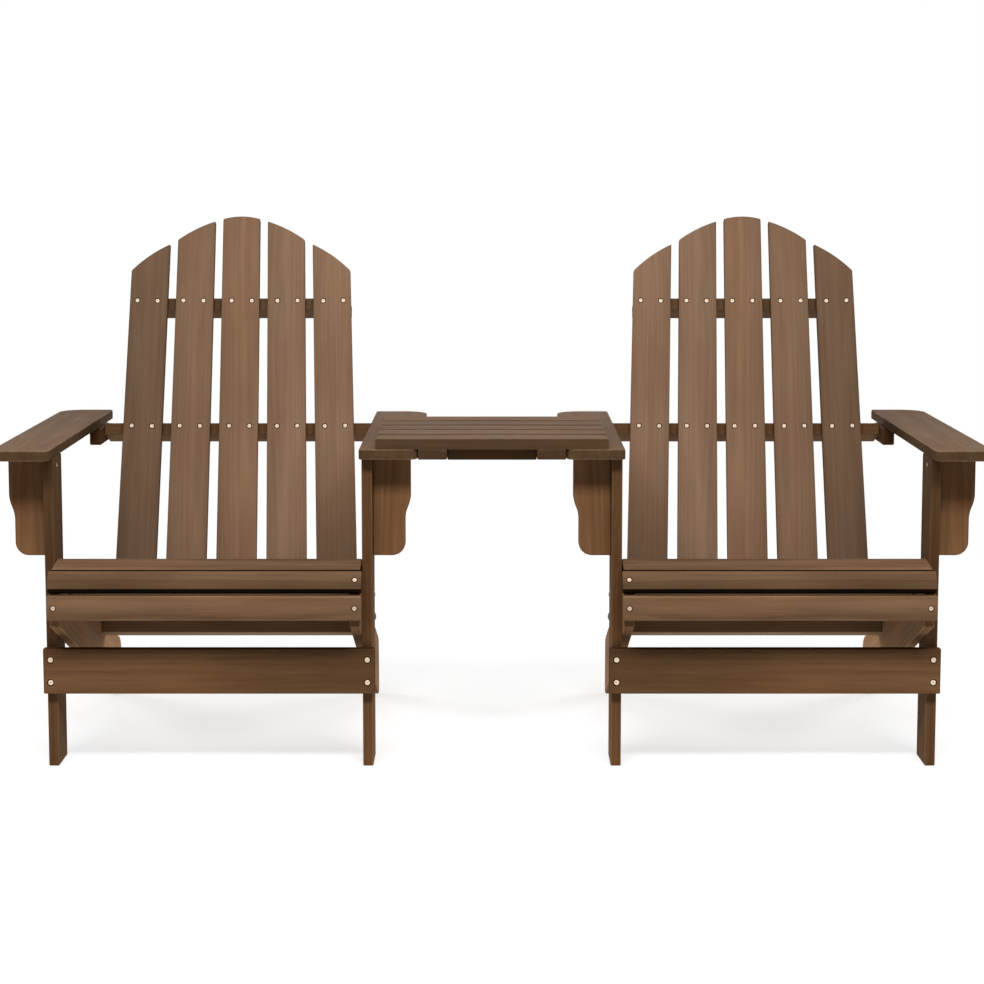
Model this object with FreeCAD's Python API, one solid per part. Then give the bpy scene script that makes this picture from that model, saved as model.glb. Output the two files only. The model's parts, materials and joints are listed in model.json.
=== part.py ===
import FreeCAD, Part
import math
import os

# A companion seat: two slatted garden armchairs joined by a small slatted table between their
# inner arms. Lengths are in millimetres and angles in degrees. +Z is up, -Y is the front and
# X runs along the width. While the pieces are made, Y = 0 is the front face of the front legs
# and Z = 0 is the ground. The left chair is modelled and the right one is its mirror image.

Vector = FreeCAD.Vector
across = Vector(1, 0, 0)
rearward = Vector(0, 1, 0)
upward = Vector(0, 0, 1)

# Layout
chair_spacing = 924.0
seat_clear_width = 500.0

# Timber
leg_thickness = 17.0
rail_thickness = 17.0
arm_thickness = 17.0
seat_board_thickness = 17.0
back_slat_thickness = 16.0
edge_radius = 2.5

# Front legs and the apron across them
leg_depth = 82.0
leg_height = 509.5
apron_height = 75.0
apron_thickness = 17.0
apron_bottom = 124.0
apron_end_overhang = 3.5

# Side rails, which run from the front of the seat down to the rear feet
rail_overhang = 64.0
rail_front_bottom = 243.0
rail_front_top = 297.0
nose_angle = 49.6
shelf_angle = 8.6
knee_y = 20.0
knee_height = 326.0
seat_slope = 22.3
seat_run = 405.0
seat_dip = 7.0
rail_rear_y = 604.0
rail_rear_height = 103.0
rail_rear_radius = 30.0
foot_length = 15.0

# Seat boards
front_board_height = 40.5
front_board_overhang = 2.5
nose_board_width = 34.0
seat_slat_width = 58.0
seat_slat_start = 4.0
seat_slat_least_gap = 8.0

# Back
back_setback = 21.0
recline = 16.5
back_slat_count = 5
back_slat_foot_width = 73.5
back_slat_crown_width = 68.0
back_slat_pitch = 92.1
back_fan_step = 0.766
back_slat_length = 771.5
back_slat_foot_rise = 6.0
arch_radius = 705.0
arch_offset = 239.0
arch_shoulder_drop = 7.2
slat_top_radius = 240.0
batten_height = 22.0
batten_depth = 70.0
low_batten_depth = 45.0
low_batten_drop = 1.5
top_batten_drop = 162.5
top_batten_inset = 3.0

# Arms, their cleats and their brackets
arm_width = 95.0
outer_arm_inset = 0.0
outer_arm_overhang = 49.0
outer_arm_length = 719.0
inner_arm_inset = 3.5
inner_arm_overhang = 22.0
inner_arm_length = 660.0
arm_corner_radius = 12.0
outer_arm_seat_radius = 15.0
inner_arm_seat_radius = 6.0
arm_rear_seat_radius = 8.0
arm_rear_radius = 45.0
cleat_width = 21.0
cleat_height = 31.0
cleat_front = 490.0
cleat_length = 105.0
bracket_width = 62.0
bracket_height = 164.0
bracket_thickness = 18.0
bracket_setback = 32.0
bracket_waist = 9.0
bracket_curve_drop = 62.0
bracket_curve_height = 43.0
bracket_corner_radius = 22.0

# Table between the chairs
table_length = 376.0
table_depth = 378.0
table_slat_width = 68.0
table_slat_least_gap = 4.0
table_slat_thickness = 17.0
table_batten_width = 47.5
table_cross_height = 20.0
table_cross_thickness = 17.0
table_cross_setback = 25.0

# Fasteners
hole_clearance = 0.3
bolt_radius = 3.0
bolt_head_radius = 8.0
bolt_head_height = 3.5
bolt_spacing = 30.0
bolt_spare = 1.5
nut_height = 5.0
nut_radius = 5.8

# Clearances
fit_clearance = 0.5
bed_clearance = 0.1

# Two places nearer than this are one place, and two directions less apart are one direction
same_place = 0.01
same_direction = 0.02

# Derived places
chair_x = -chair_spacing / 2
leg_inner_x = seat_clear_width / 2
leg_outer_x = leg_inner_x + leg_thickness
rail_inner_x = leg_inner_x - rail_thickness
front_most_y = -rail_overhang - seat_board_thickness
rear_most_y = max(rail_rear_y, outer_arm_length - outer_arm_overhang)
depth_middle_y = (front_most_y + rear_most_y) / 2
arm_top = leg_height + arm_thickness


def direction(angle):
    """Unit vector in the side plane, tilted up towards the rear by the angle."""
    turn = math.radians(angle)
    return Vector(0, math.cos(turn), math.sin(turn))


def side_point(y, z):
    return Vector(0, y, z)


def box(x_low, x_high, y_low, y_high, z_low, z_high):
    corner = Vector(x_low, y_low, z_low)
    return Part.makeBox(x_high - x_low, y_high - y_low, z_high - z_low, corner)


def ease(board, along, outward=None):
    """Round the edges along the grain: all of them, or those of the face that looks outward."""
    chosen = []
    for edge in board.Edges:
        run = edge.Vertexes[-1].Point - edge.Vertexes[0].Point
        shown = outward is None or (edge.CenterOfMass - board.CenterOfMass).dot(outward) > 0
        if run.cross(along).Length < same_direction * run.Length and shown:
            chosen.append(edge)
    return board.makeFillet(edge_radius, chosen)


def edges_through(solid, plane, first, second):
    """The edges whose middle lies at a place given by two coordinates, such as its x and y."""
    chosen = []
    for edge in solid.Edges:
        middle = edge.CenterOfMass
        if (abs(getattr(middle, plane[0]) - first) < same_place
                and abs(getattr(middle, plane[1]) - second) < same_place):
            chosen.append(edge)
    return chosen


def cross_board(half_length, start, along, width, thickness):
    """A board across the chair. Its lower face starts at the side point and runs along the direction."""
    normal = across.cross(along)
    corners = [start,
               start + along * width,
               start + along * width + normal * thickness,
               start + normal * thickness]
    face = Part.Face(Part.makePolygon(corners + [corners[0]]))
    face.translate(Vector(-half_length, 0, 0))
    return face.extrude(Vector(2 * half_length, 0, 0))


def show_board(half_length, start, along, width, thickness):
    """A board across the chair with its outer face's edges rounded."""
    board = cross_board(half_length, start, along, width, thickness)
    return ease(board, across, across.cross(along))


# Side rail: points of its outline in the side plane
rail_front_y = -rail_overhang
knee = side_point(knee_y, knee_height)
shelf_direction = direction(shelf_angle)
nose_direction = direction(nose_angle)
nose_start = side_point(rail_front_y, rail_front_top)
seat_direction = direction(-seat_slope)
seat_end = knee + seat_direction * seat_run
seat_normal = across.cross(seat_direction)
seat_radius = (seat_run ** 2 / 4 + seat_dip ** 2) / (2 * seat_dip)
seat_centre = knee + seat_direction * (seat_run / 2) + seat_normal * (seat_radius - seat_dip)
seat_arc_length = 2 * seat_radius * math.asin(seat_run / (2 * seat_radius))
rail_rear_top = side_point(rail_rear_y, rail_rear_height)
tail_direction = (rail_rear_top - seat_end).normalize()


def nose_top():
    """Where the slanted nose of the rail meets the shelf behind it."""
    run = knee - nose_start
    spread = nose_direction.y * shelf_direction.z - nose_direction.z * shelf_direction.y
    distance = (run.y * shelf_direction.z - run.z * shelf_direction.y) / spread
    return nose_start + nose_direction * distance


def seat_point(arc_length):
    """A point of the dished seat line, counted along the curve from the knee."""
    turn = arc_length / seat_radius - seat_arc_length / (2 * seat_radius)
    return (seat_centre
            - seat_normal * (seat_radius * math.cos(turn))
            + seat_direction * (seat_radius * math.sin(turn)))


def rail_outline():
    front_bottom = side_point(rail_front_y, rail_front_bottom)
    foot_front = side_point(rail_rear_y - foot_length, 0)
    foot_rear = side_point(rail_rear_y, 0)
    shoulder = nose_top()
    seat_curve = Part.Arc(knee, seat_point(seat_arc_length / 2), seat_end)
    edges = [Part.makeLine(front_bottom, nose_start),
             Part.makeLine(nose_start, shoulder),
             Part.makeLine(shoulder, knee),
             seat_curve.toShape(),
             Part.makeLine(seat_end, rail_rear_top),
             Part.makeLine(rail_rear_top, foot_rear),
             Part.makeLine(foot_rear, foot_front),
             Part.makeLine(foot_front, front_bottom)]
    return Part.Face(Part.Wire(edges))


def rail_middle_height(y):
    """Half-way height of the rail where it crosses the leg."""
    bottom_slope = rail_front_bottom / (rail_rear_y - foot_length + rail_overhang)
    bottom = rail_front_bottom - bottom_slope * (y + rail_overhang)
    top = knee_height - abs(y - knee_y) * math.tan(math.radians(seat_slope))
    return (bottom + top) / 2


def cross_hole(y, z, radius, x_low, x_high):
    return Part.makeCylinder(radius, x_high - x_low, Vector(x_low, y, z), Vector(1, 0, 0))


def bolt_places():
    places = []
    for sign in (-1, 1):
        y = leg_depth / 2 + sign * bolt_spacing / 2
        places.append((y, rail_middle_height(y) - sign * bolt_spacing / 2))
    return places


def front_leg(side):
    """Front leg on one side of the chair: -1 is away from the table and +1 is beside it."""
    x_low, x_high = sorted((side * leg_inner_x, side * leg_outer_x))
    leg = ease(box(x_low, x_high, 0, leg_depth, 0, leg_height), upward)
    for y, z in bolt_places():
        leg = leg.cut(cross_hole(y, z, bolt_radius + hole_clearance, x_low, x_high))
    return leg


def side_rail(side):
    rail = rail_outline().extrude(Vector(rail_thickness, 0, 0))
    rail = rail.makeFillet(rail_rear_radius, edges_through(rail, "yz", rail_rear_y, rail_rear_height))
    x_low, x_high = sorted((side * rail_inner_x, side * leg_inner_x))
    rail.translate(Vector(x_low, 0, 0))
    for y, z in bolt_places():
        rail = rail.cut(cross_hole(y, z, bolt_radius + hole_clearance, x_low, x_high))
    return rail


def apron():
    half_length = leg_outer_x + apron_end_overhang
    start = side_point(0, apron_bottom)
    return show_board(half_length, start, upward, apron_height, apron_thickness)


def front_board():
    half_length = leg_inner_x + front_board_overhang
    low = rail_front_top - fit_clearance - front_board_height
    start = side_point(rail_front_y, low)
    return show_board(half_length, start, upward, front_board_height, seat_board_thickness)


def nose_board():
    half_length = leg_inner_x + front_board_overhang
    return show_board(half_length, nose_start, nose_direction, nose_board_width, seat_board_thickness)


def knee_slat():
    start = knee - shelf_direction * seat_slat_width
    return show_board(leg_inner_x - fit_clearance, start, shelf_direction, seat_slat_width, seat_board_thickness)


def seat_slats():
    """Slats laid along the dished part of the rails, from the knee to the back."""
    room = seat_arc_length - seat_slat_start
    count = int((room + seat_slat_least_gap) / (seat_slat_width + seat_slat_least_gap))
    pitch = (room - seat_slat_width) / (count - 1)
    slats = []
    for index in range(count):
        near = seat_point(seat_slat_start + index * pitch)
        far = seat_point(seat_slat_start + index * pitch + seat_slat_width)
        along = (far - near).normalize()
        lift = across.cross(along) * bed_clearance
        slats.append(show_board(leg_inner_x - fit_clearance, near + lift, along,
                                seat_slat_width, seat_board_thickness))
    return Part.makeCompound(slats)


# Back: places on it are counted up the slats from its foot on the rails, and rearward from
# the slats' front face
back_foot = seat_end + tail_direction * back_setback
back_up = direction(90 - recline)
back_rearward = direction(-recline)
low_batten_bottom = -low_batten_drop - batten_height
slat_foot = low_batten_bottom + back_slat_foot_rise
crown = slat_foot + back_slat_length


def back_place(up, behind):
    return back_foot + back_up * up + back_rearward * behind


def slat_width(up):
    """Width of a back slat, which narrows evenly from the back's foot to the crown."""
    return back_slat_foot_width - (back_slat_foot_width - back_slat_crown_width) * up / crown


def slat_pitch(up):
    """Distance between the middles of neighbouring back slats."""
    return back_slat_pitch - up * math.tan(math.radians(back_fan_step))


def batten(half_length, up_low, behind, depth):
    start = back_place(up_low, behind)
    return cross_board(half_length, start, back_rearward, depth, batten_height)


def middle_batten_low():
    """Height up the slats at which the middle batten's centre is level with the cleats' middle."""
    centre_height = leg_height - cleat_height / 2
    behind = back_slat_thickness + batten_depth / 2
    up = (centre_height - back_foot.z - back_rearward.z * behind) / back_up.z
    return up - batten_height / 2


def low_batten():
    return batten(rail_inner_x, low_batten_bottom, -low_batten_depth, low_batten_depth)


def middle_batten():
    return batten(cleat_inner_x(), middle_batten_low(), back_slat_thickness, batten_depth)


def top_batten_low():
    return crown - top_batten_drop - batten_height / 2


def top_batten():
    low = top_batten_low()
    half_length = (back_slat_count - 1) / 2 * slat_pitch(low) + slat_width(low) / 2 - top_batten_inset
    return batten(half_length, low, back_slat_thickness, batten_depth)


def shoulder_height(x):
    """Height of the arched line on which the slats' tops meet, at a distance from the middle."""
    start = slat_pitch(crown) / 2 + arch_offset
    fall = math.sqrt(arch_radius ** 2 - start ** 2) - math.sqrt(arch_radius ** 2 - (x + arch_offset) ** 2)
    return crown - arch_shoulder_drop - fall


def slat_top(near, far):
    """The arc over one slat, from the middle of the gap on one side to that on the other."""
    chord = far - near
    if abs(near.x + far.x) < same_place:
        bow = arch_shoulder_drop
    else:
        bow = slat_top_radius - math.sqrt(slat_top_radius ** 2 - chord.Length ** 2 / 4)
    outward = upward.cross(chord).normalize()
    return Part.Arc(near, (near + far) / 2 + outward * bow, far).toShape()


def arch_region():
    """Everything under the slats' tops, as a plate lying in X and Y."""
    joints = []
    for number in range(back_slat_count + 1):
        x = (number - back_slat_count / 2) * slat_pitch(crown)
        joints.append(Vector(x, shoulder_height(abs(x)), 0))
    tops = [slat_top(near, far) for near, far in zip(joints, joints[1:])]
    foot_reach = back_slat_count / 2 * slat_pitch(slat_foot)
    left_foot = Vector(-foot_reach, slat_foot, 0)
    right_foot = Vector(foot_reach, slat_foot, 0)
    wire = Part.Wire(tops + [Part.makeLine(joints[-1], right_foot),
                             Part.makeLine(right_foot, left_foot),
                             Part.makeLine(left_foot, joints[0])])
    return Part.Face(wire).extrude(Vector(0, 0, back_slat_thickness))


def back_slat(number):
    """One slat of the fan. Number 1 is the farthest from the table in the left chair."""
    place = number - (back_slat_count + 1) / 2
    corners = []
    for up in (slat_foot - back_slat_foot_width, crown + back_slat_foot_width):
        half = slat_width(up) / 2
        corners += [Vector(-half, up, 0), Vector(half, up, 0)]
    corners = [corners[0], corners[1], corners[3], corners[2], corners[0]]
    slat = Part.Face(Part.makePolygon(corners)).extrude(Vector(0, 0, back_slat_thickness))
    slat = ease(slat, rearward, upward)
    slat.rotate(Vector(0, 0, 0), Vector(0, 0, 1), place * back_fan_step)
    slat.translate(Vector(place * back_slat_pitch, 0, 0))
    slat = slat.common(arch_region())
    # The plate stands up at the recline: its Y runs up the slats and its Z faces the front
    stand = FreeCAD.Matrix(1, 0, 0, 0,
                           0, back_up.y, -back_rearward.y, back_place(0, back_slat_thickness).y,
                           0, back_up.z, -back_rearward.z, back_place(0, back_slat_thickness).z,
                           0, 0, 0, 1)
    slat.transformShape(stand)
    return slat


def cleat_inner_x():
    return leg_inner_x - max(inner_arm_inset, outer_arm_inset) - fit_clearance


def arm(side, inset, overhang, length, seat_radius):
    """A flat arm with rounded corners. The inset is how far it reaches inside the leg."""
    seat_edge = leg_inner_x - inset
    far_edge = seat_edge + arm_width
    front = -overhang
    rear = front + length
    plate = box(seat_edge, far_edge, front, rear, leg_height, arm_top)
    corners = [(seat_edge, front, seat_radius),
               (far_edge, front, arm_corner_radius),
               (far_edge, rear, arm_rear_radius),
               (seat_edge, rear, arm_rear_seat_radius)]
    for x, y, radius in corners:
        plate = plate.makeFillet(radius, edges_through(plate, "xy", x, y))
    rims = [edge for edge in plate.Edges if abs(edge.CenterOfMass.z - (leg_height + arm_top) / 2) > same_place]
    plate = plate.makeChamfer(edge_radius, rims)
    if side < 0:
        plate = plate.mirror(Vector(0, 0, 0), Vector(1, 0, 0))
    return plate


def arm_cleat(side):
    near = cleat_inner_x()
    x_low, x_high = sorted((side * near, side * (near + cleat_width)))
    return box(x_low, x_high, cleat_front, cleat_front + cleat_length, leg_height - cleat_height, leg_height)


def bracket(side):
    """Bracket under an arm, with an ogee in its outer edge and a round lower corner."""
    near = leg_outer_x
    wide = near + bracket_width
    narrow = wide - bracket_waist
    top = leg_height
    bottom = leg_height - bracket_height
    curve_top = top - bracket_curve_drop
    curve_bottom = curve_top - bracket_curve_height
    curve_middle = Vector((wide + narrow) / 2, 0, (curve_top + curve_bottom) / 2)
    curve_radius = (bracket_curve_height ** 2 + bracket_waist ** 2) / (4 * bracket_waist)
    half_turn = math.asin(bracket_curve_height / (2 * curve_radius)) / 2
    bow = curve_radius * (1 - math.cos(half_turn))
    lean = curve_radius * math.sin(half_turn)
    upper = Vector(wide - bow, 0, curve_top - lean)
    lower = Vector(narrow + bow, 0, curve_bottom + lean)
    round_off = bracket_corner_radius * (1 - math.sqrt(0.5))
    corner_middle = Vector(narrow - round_off, 0, bottom + round_off)
    edges = [Part.makeLine(Vector(near, 0, bottom), Vector(near, 0, top)),
             Part.makeLine(Vector(near, 0, top), Vector(wide, 0, top)),
             Part.makeLine(Vector(wide, 0, top), Vector(wide, 0, curve_top)),
             Part.Arc(Vector(wide, 0, curve_top), upper, curve_middle).toShape(),
             Part.Arc(curve_middle, lower, Vector(narrow, 0, curve_bottom)).toShape(),
             Part.makeLine(Vector(narrow, 0, curve_bottom), Vector(narrow, 0, bottom + bracket_corner_radius)),
             Part.Arc(Vector(narrow, 0, bottom + bracket_corner_radius), corner_middle,
                      Vector(narrow - bracket_corner_radius, 0, bottom)).toShape(),
             Part.makeLine(Vector(narrow - bracket_corner_radius, 0, bottom), Vector(near, 0, bottom))]
    plate = Part.Face(Part.Wire(edges)).extrude(Vector(0, bracket_thickness, 0))
    plate.translate(Vector(0, bracket_setback, 0))
    if side < 0:
        plate = plate.mirror(Vector(0, 0, 0), Vector(1, 0, 0))
    return plate


# Table: it bridges the two inner arms, symmetric about X = 0
inner_arm_outer_x = chair_x + leg_inner_x - inner_arm_inset + arm_width
table_front = -inner_arm_overhang
table_batten_outer_x = -inner_arm_outer_x - fit_clearance
table_batten_inner_x = table_batten_outer_x - table_batten_width


def table_slat_layout():
    count = int((table_depth + table_slat_least_gap) / (table_slat_width + table_slat_least_gap))
    pitch = (table_depth - table_slat_width) / (count - 1)
    return [table_front + index * pitch for index in range(count)]


def table_slat(front):
    start = side_point(front, arm_top)
    return show_board(table_length / 2, start, rearward, table_slat_width, table_slat_thickness)


def table_batten(side):
    x_low, x_high = sorted((side * table_batten_inner_x, side * table_batten_outer_x))
    return box(x_low, x_high, table_front, table_front + table_depth, leg_height, arm_top)


def table_cross_board():
    front = table_front + table_cross_setback
    return box(-table_batten_inner_x, table_batten_inner_x, front, front + table_cross_thickness,
               arm_top - table_cross_height, arm_top)


def frame_bolts():
    """Carriage bolts through the legs and rails: domed heads outside, threaded ends inside."""
    bolts = []
    reach = leg_thickness + rail_thickness + nut_height + bolt_spare
    dome_radius = (bolt_head_radius ** 2 + bolt_head_height ** 2) / (2 * bolt_head_height)
    dome = Part.makeSphere(dome_radius, Vector(bolt_head_height - dome_radius, 0, 0))
    head = dome.common(box(0, bolt_head_height, -bolt_head_radius, bolt_head_radius,
                           -bolt_head_radius, bolt_head_radius))
    shank = Part.makeCylinder(bolt_radius, reach, Vector(-reach, 0, 0), Vector(1, 0, 0))
    bolt = head.fuse(shank)
    for side in (-1, 1):
        for y, z in bolt_places():
            placed = bolt.copy() if side > 0 else bolt.mirror(Vector(0, 0, 0), Vector(1, 0, 0))
            placed.translate(Vector(side * leg_outer_x, y, z))
            bolts.append(placed)
    return Part.makeCompound(bolts)


def frame_nuts():
    """Hexagon nuts on the bolts' inner ends, inside the rails."""
    nuts = []
    corners = []
    for step in range(7):
        turn = math.radians(60 * step)
        corners.append(Vector(0, nut_radius * math.cos(turn), nut_radius * math.sin(turn)))
    nut = Part.Face(Part.makePolygon(corners)).extrude(Vector(-nut_height, 0, 0))
    nut = nut.cut(cross_hole(0, 0, bolt_radius + hole_clearance, -nut_height, 0))
    for side in (-1, 1):
        for y, z in bolt_places():
            placed = nut.copy() if side > 0 else nut.mirror(Vector(0, 0, 0), Vector(1, 0, 0))
            placed.translate(Vector(side * rail_inner_x, y, z))
            nuts.append(placed)
    return Part.makeCompound(nuts)


def export(shape, node):
    shape.translate(Vector(0, -depth_middle_y, 0))
    shape.exportStep("parts/" + node + ".step")


def chair_pieces():
    pieces = {"apron": apron(),
              "front_board": front_board(),
              "nose_board": nose_board(),
              "knee_slat": knee_slat(),
              "seat_slats": seat_slats(),
              "low_batten": low_batten(),
              "middle_batten": middle_batten(),
              "top_batten": top_batten(),
              "outer_arm": arm(-1, outer_arm_inset, outer_arm_overhang, outer_arm_length,
                               outer_arm_seat_radius),
              "inner_arm": arm(1, inner_arm_inset, inner_arm_overhang, inner_arm_length,
                               inner_arm_seat_radius)}
    for side, name in ((-1, "outer"), (1, "inner")):
        pieces[name + "_leg"] = front_leg(side)
        pieces[name + "_rail"] = side_rail(side)
        pieces[name + "_cleat"] = arm_cleat(side)
        pieces[name + "_bracket"] = bracket(side)
    for number in range(1, back_slat_count + 1):
        pieces["back_slat_" + str(number)] = back_slat(number)
    return pieces


def both_chairs(shape):
    """The shape in the left chair and its mirror image in the right one."""
    left = shape.copy()
    left.translate(Vector(chair_x, 0, 0))
    return left, left.mirror(Vector(0, 0, 0), Vector(1, 0, 0))


os.makedirs("parts", exist_ok=True)
for piece_name, piece in chair_pieces().items():
    left_piece, right_piece = both_chairs(piece)
    export(left_piece, "left_" + piece_name)
    export(right_piece, "right_" + piece_name)
export(Part.makeCompound(list(both_chairs(frame_bolts()))), "frame_bolts")
export(Part.makeCompound(list(both_chairs(frame_nuts()))), "frame_nuts")
for slat_index, slat_front in enumerate(table_slat_layout()):
    export(table_slat(slat_front), "table_slat_" + str(slat_index + 1))
export(table_batten(-1), "left_table_batten")
export(table_batten(1), "right_table_batten")
export(table_cross_board(), "table_cross_board")
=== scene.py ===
import json
import math
import random

import bmesh
import bpy
from mathutils import Matrix, Vector


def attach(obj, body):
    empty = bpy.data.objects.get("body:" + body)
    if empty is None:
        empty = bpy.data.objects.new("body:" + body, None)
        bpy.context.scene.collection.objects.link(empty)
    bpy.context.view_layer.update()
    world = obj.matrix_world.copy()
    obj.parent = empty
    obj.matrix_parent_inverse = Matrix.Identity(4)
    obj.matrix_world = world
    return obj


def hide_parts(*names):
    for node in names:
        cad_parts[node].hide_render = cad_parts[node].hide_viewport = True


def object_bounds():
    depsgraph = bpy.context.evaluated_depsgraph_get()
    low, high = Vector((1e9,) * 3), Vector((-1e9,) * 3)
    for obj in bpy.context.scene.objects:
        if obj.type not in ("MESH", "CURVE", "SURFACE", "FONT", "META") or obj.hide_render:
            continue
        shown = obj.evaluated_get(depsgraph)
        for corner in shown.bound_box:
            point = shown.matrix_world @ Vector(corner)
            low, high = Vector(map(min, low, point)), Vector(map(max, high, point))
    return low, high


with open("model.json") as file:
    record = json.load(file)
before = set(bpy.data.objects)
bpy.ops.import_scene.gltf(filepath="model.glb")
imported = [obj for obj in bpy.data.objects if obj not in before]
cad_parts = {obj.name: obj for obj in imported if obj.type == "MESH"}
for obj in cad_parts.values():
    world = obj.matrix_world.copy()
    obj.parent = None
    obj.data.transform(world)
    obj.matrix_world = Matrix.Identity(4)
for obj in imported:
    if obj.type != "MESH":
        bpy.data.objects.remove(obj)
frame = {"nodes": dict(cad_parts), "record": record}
cad_low, cad_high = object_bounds()

# Lengths are in metres and angles in degrees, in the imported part's own frame.
# Every wooden solid is shown as a board of its own: the same outline and thickness, with
# softened edges, countersunk screws and grain that runs along the board.

sides = ("left", "right")
back_slat_count = 5
table_slat_count = 5
seat_slat_count = 6

# Directions
forward = (0, -1, 0)
rearward = (0, 1, 0)
upward = (0, 0, 1)
downward = (0, 0, -1)

# Finding the boards: outline points that turn by less than straight_turn are left out. An axis is
# sideways if its sideways part is over sideways_share. Any other axis is told by its upward part,
# with a little of its rearward part for axes that lie level.
straight_turn = 0.2
same_place = 1e-6
sideways_share = 0.7
rearward_weight = 0.1

# Board edges
edge_radius = 0.0022
table_edge_radius = 0.0007
edge_steps = 3
sharp_turn = 25.0
sharp_shading = 38.0
flat_face_weight = 100

# Screws
head_radius = 0.0040
head_drop = 0.0005
head_chamfer = 0.0003
head_taper = 0.0007
recess_reach = 0.0024
recess_half_width = 0.00045
recess_depth = 0.0009
sink_radius = 0.0057
sink_depth = 0.0016
sink_spare = 0.0004
round_steps = 24
apron_screw_spread = 0.0187
back_screw_spread = 0.0185
back_screw_rise = 0.0028
small_screw_size = 0.90
large_screw_size = 1.06
leg_screw_drop = 0.015
cleat_screw_spread = 0.042

# Growth rings of the wood
ring_spacing = 0.0052
ring_wander = 0.03
ring_wander_depth_share = 0.6
ring_raggedness = 0.0016
ring_rise = (0.15, 0.86)
ring_drop = (1.0, 0.9)

# Noise: waves per metre along, across and through the board, or along X, Y and Z for the zinc, then
# steps of detail and roughness
wander_noise = ((1.6, 5.0, 5.0), 1.0, 0.5)
ragged_noise = ((7.0, 260.0, 260.0), 3.0, 0.6)
fibre_noise = ((12.0, 520.0, 520.0), 4.0, 0.65)
streak_noise = ((4.0, 95.0, 95.0), 3.0, 0.55)
pore_noise = ((22.0, 1500.0, 1500.0), 2.0, 0.5)
blotch_noise = ((4.5, 16.0, 16.0), 2.0, 0.5)
cloud_noise = ((5.0, 34.0, 34.0), 2.0, 0.5)
wear_and_highlight_noise = ((14.0, 30.0, 30.0), 3.0, 0.5)
zinc_cloud_noise = ((420.0, 420.0, 420.0), 3.0, 0.6)
zinc_scuff_noise = ((300.0, 2400.0, 1700.0), 3.0, 0.6)
noise_ends = (0.30, 0.70)
blotch_ends = (0.25, 0.75)

# Shares of the grain's depth of colour
ring_share = 0.26
streak_share = 0.40
fibre_share = 0.22
pore_share = 0.12

# Where a board is cut from its log: along it, and beside and under the heart line
log_reach = 20.0
heart_aside = 0.03
heart_depths = (0.02, 0.07)

# Stains multiply the colour of the wood, and so does the painted shade in the screws' sinks
cool_tone = (0.98, 1.015, 1.02)
warm_tone = (1.03, 0.985, 0.96)
sawn_end_stain = (0.80, 0.78, 0.74)
# Painted shade at the bottom of the screws' countersinks
sink_shade = (0.20, 0.18, 0.16)

# Where there is no stain or paleness and where it is full, by how squarely the surface faces through
# the board (edges, and paler edges from wear and painted highlight) or along it (sawn ends), from 0 to 1
edge_stain_ends = (0.55, 0.15)
sawn_end_ends = (0.5, 0.95)
wear_and_highlight_starts = (0.97, 0.80)
wear_and_highlight_stops = (0.20, 0.45)

# Patches of the paler edges (wear and painted highlight) by their noise, and the painted shade of the sinks
# by the share of the way down
wear_and_highlight_patch_ends = (0.36, 0.58)
least_wear_and_highlight = 0.35
worn_and_lit_brightness = 1.6
worn_and_lit_saturation = 0.92
sink_ends = (0.0, 0.12)

# Surface of the wood
wood_roughness = (0.62, 0.78)
fibre_roughness_share = 0.6
blotch_roughness_share = 0.4
wood_specular = 0.01
wood_relief = 0.0004
wood_relief_strength = 0.35
fibre_relief_share = 0.7
ring_relief_share = 0.3

# Surface of the zinc
bright_zinc = (226, 206, 184)
dull_zinc = (204, 181, 158)
zinc_roughness = (0.46, 0.66)
zinc_metallic = 0.3
zinc_relief = 0.0001
zinc_relief_strength = 0.2

# Photograph's viewing angle: the distance is measured from the legs' front faces
image_size = 984
camera_distance = 4.130
camera_height = 0.974
camera_pitch = 7.17
focal_pixels = 2563
sensor_width = 36.0

# Light: turns are counted from straight in front of the object
lamp_distance = 4.5
key_elevation = 44.0
key_turn = 0.0
key_size = (4.0, 0.8)
key_power = 225.0
side_elevation = 8.0
side_turn = 125.0
side_size = (1.6, 1.6)
side_power = 127.0
back_elevation = 20.0
back_turn = 180.0
back_size = (4.0, 1.0)
back_power = 84.0

# Floor: it glows to the camera more than to the object, and fades to white from a distance on
floor_reach = 30.0
floor_colour = (0.4, 0.4, 0.4)
floor_roughness = 0.9
floor_bounce = 0.486
floor_glow = 0.70
floor_fade = (0.9, 2.4)


def new_object(name, data):
    piece = bpy.data.objects.new(name, data)
    bpy.context.scene.collection.objects.link(piece)
    return piece


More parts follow.
